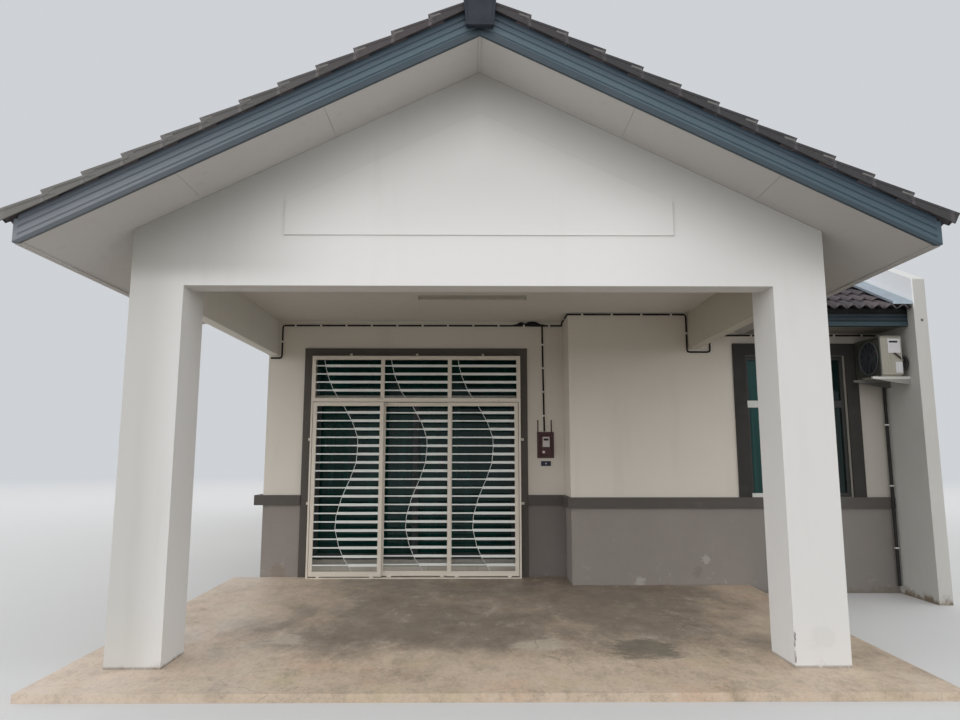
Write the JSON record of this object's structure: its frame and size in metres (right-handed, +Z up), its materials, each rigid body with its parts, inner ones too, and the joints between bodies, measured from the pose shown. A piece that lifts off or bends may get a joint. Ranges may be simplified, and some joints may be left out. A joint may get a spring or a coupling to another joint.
{
  "type": "bungalow",
  "caption": "Single-storey plastered house at a row's end with a gabled car porch on square columns, a tiled roof, a sliding glass door behind a steel grille and a tinted front window.",
  "frame": {"origin": "on the ground, on the porch's centre line, level with the centres of the two porch columns", "axes": "+X to the right as seen from the street, +Y back into the house, +Z up"},
  "size_m": [8.3, 16.698, 6.938],
  "materials": {
    "wall_paint": "matt exterior wall paint on plaster",
    "porch_concrete": "worn cement screed",
    "floor_finish": "glazed floor",
    "ceiling_board": "painted fibre cement board",
    "fascia_paint": "satin paint",
    "roof_tile": "weathered interlocking tile",
    "ridge_tile": "weathered ridge tile",
    "flashing_metal": "painted flashing",
    "band_paint": "matt paint on plaster",
    "surround_paint": "matt paint on plaster",
    "window_frame": "powder coated",
    "window_glass": "tinted",
    "door_aluminium": "anodised",
    "grille_paint": "chalked gloss paint",
    "cooler_case": "baked enamel, aged",
    "bracket_paint": "paint",
    "meter_paint": "aged paint",
    "cable_sheath": "matt sheath",
    "lamp_cover": "diffuser",
    "back_door_paint": "satin paint"
  },
  "bodies": {
    "house": {"porch_floor": "porch_concrete", "floor_slab": "floor_finish", "porch_column_left": "wall_paint", "porch_column_right": "wall_paint", "porch_front_beam": "wall_paint", "porch_gable_wall": "wall_paint", "porch_side_beams": "wall_paint", "porch_ceiling": "ceiling_board", "porch_soffit": "ceiling_board", "porch_fascia": "fascia_paint", "porch_roof": "roof_tile", "ridge_caps": "ridge_tile", "front_wall_left_of_door": "wall_paint", "front_wall_right_of_door": "wall_paint", "front_wall_over_door": "wall_paint", "front_wall_with_window": "wall_paint", "left_wall": "wall_paint", "back_wall": "wall_paint", "party_wall": "wall_paint", "house_ceiling": "ceiling_board", "main_roof_front": "roof_tile", "main_roof_back": "roof_tile", "main_fascia": "fascia_paint", "main_soffit": "ceiling_board", "left_barge_boards": "fascia_paint", "roof_flashing": "flashing_metal", "dado_band": "band_paint", "door_surround": "surround_paint", "window_surrounds": "surround_paint", "window_frames": "window_frame", "window_glass": "window_glass", "sliding_door_frame": "door_aluminium", "grille_frame": "grille_paint", "air_conditioner": "cooler_case", "air_conditioner_brackets": "bracket_paint", "meter_board": "meter_paint", "surface_cable": "cable_sheath", "porch_lamp": "lamp_cover", "back_door": "back_door_paint"},
    "glass_leaf_left": {"sliding_door_left": "door_aluminium"},
    "glass_leaf_right": {"sliding_door_right": "door_aluminium"},
    "grille_left": {"grille_leaf_left": "grille_paint"},
    "grille_middle": {"grille_leaf_middle": "grille_paint"},
    "grille_right": {"grille_leaf_right": "grille_paint"}
  },
  "joints": [
    {"name": "glass_door_left_slide", "type": "slide", "parent": "house", "child": "glass_leaf_left", "axis": [1, 0, 0], "range_m": [0, 1.2]},
    {"name": "glass_door_right_slide", "type": "slide", "parent": "house", "child": "glass_leaf_right", "axis": [1, 0, 0], "range_m": [-1.2, 0]},
    {"name": "grille_left_slide", "type": "slide", "parent": "house", "child": "grille_left", "axis": [1, 0, 0], "range_m": [0, 0.8]},
    {"name": "grille_middle_slide", "type": "slide", "parent": "house", "child": "grille_middle", "axis": [1, 0, 0], "range_m": [-0.8, 0.8]},
    {"name": "grille_right_slide", "type": "slide", "parent": "house", "child": "grille_right", "axis": [1, 0, 0], "range_m": [-0.8, 0]}
  ]
}
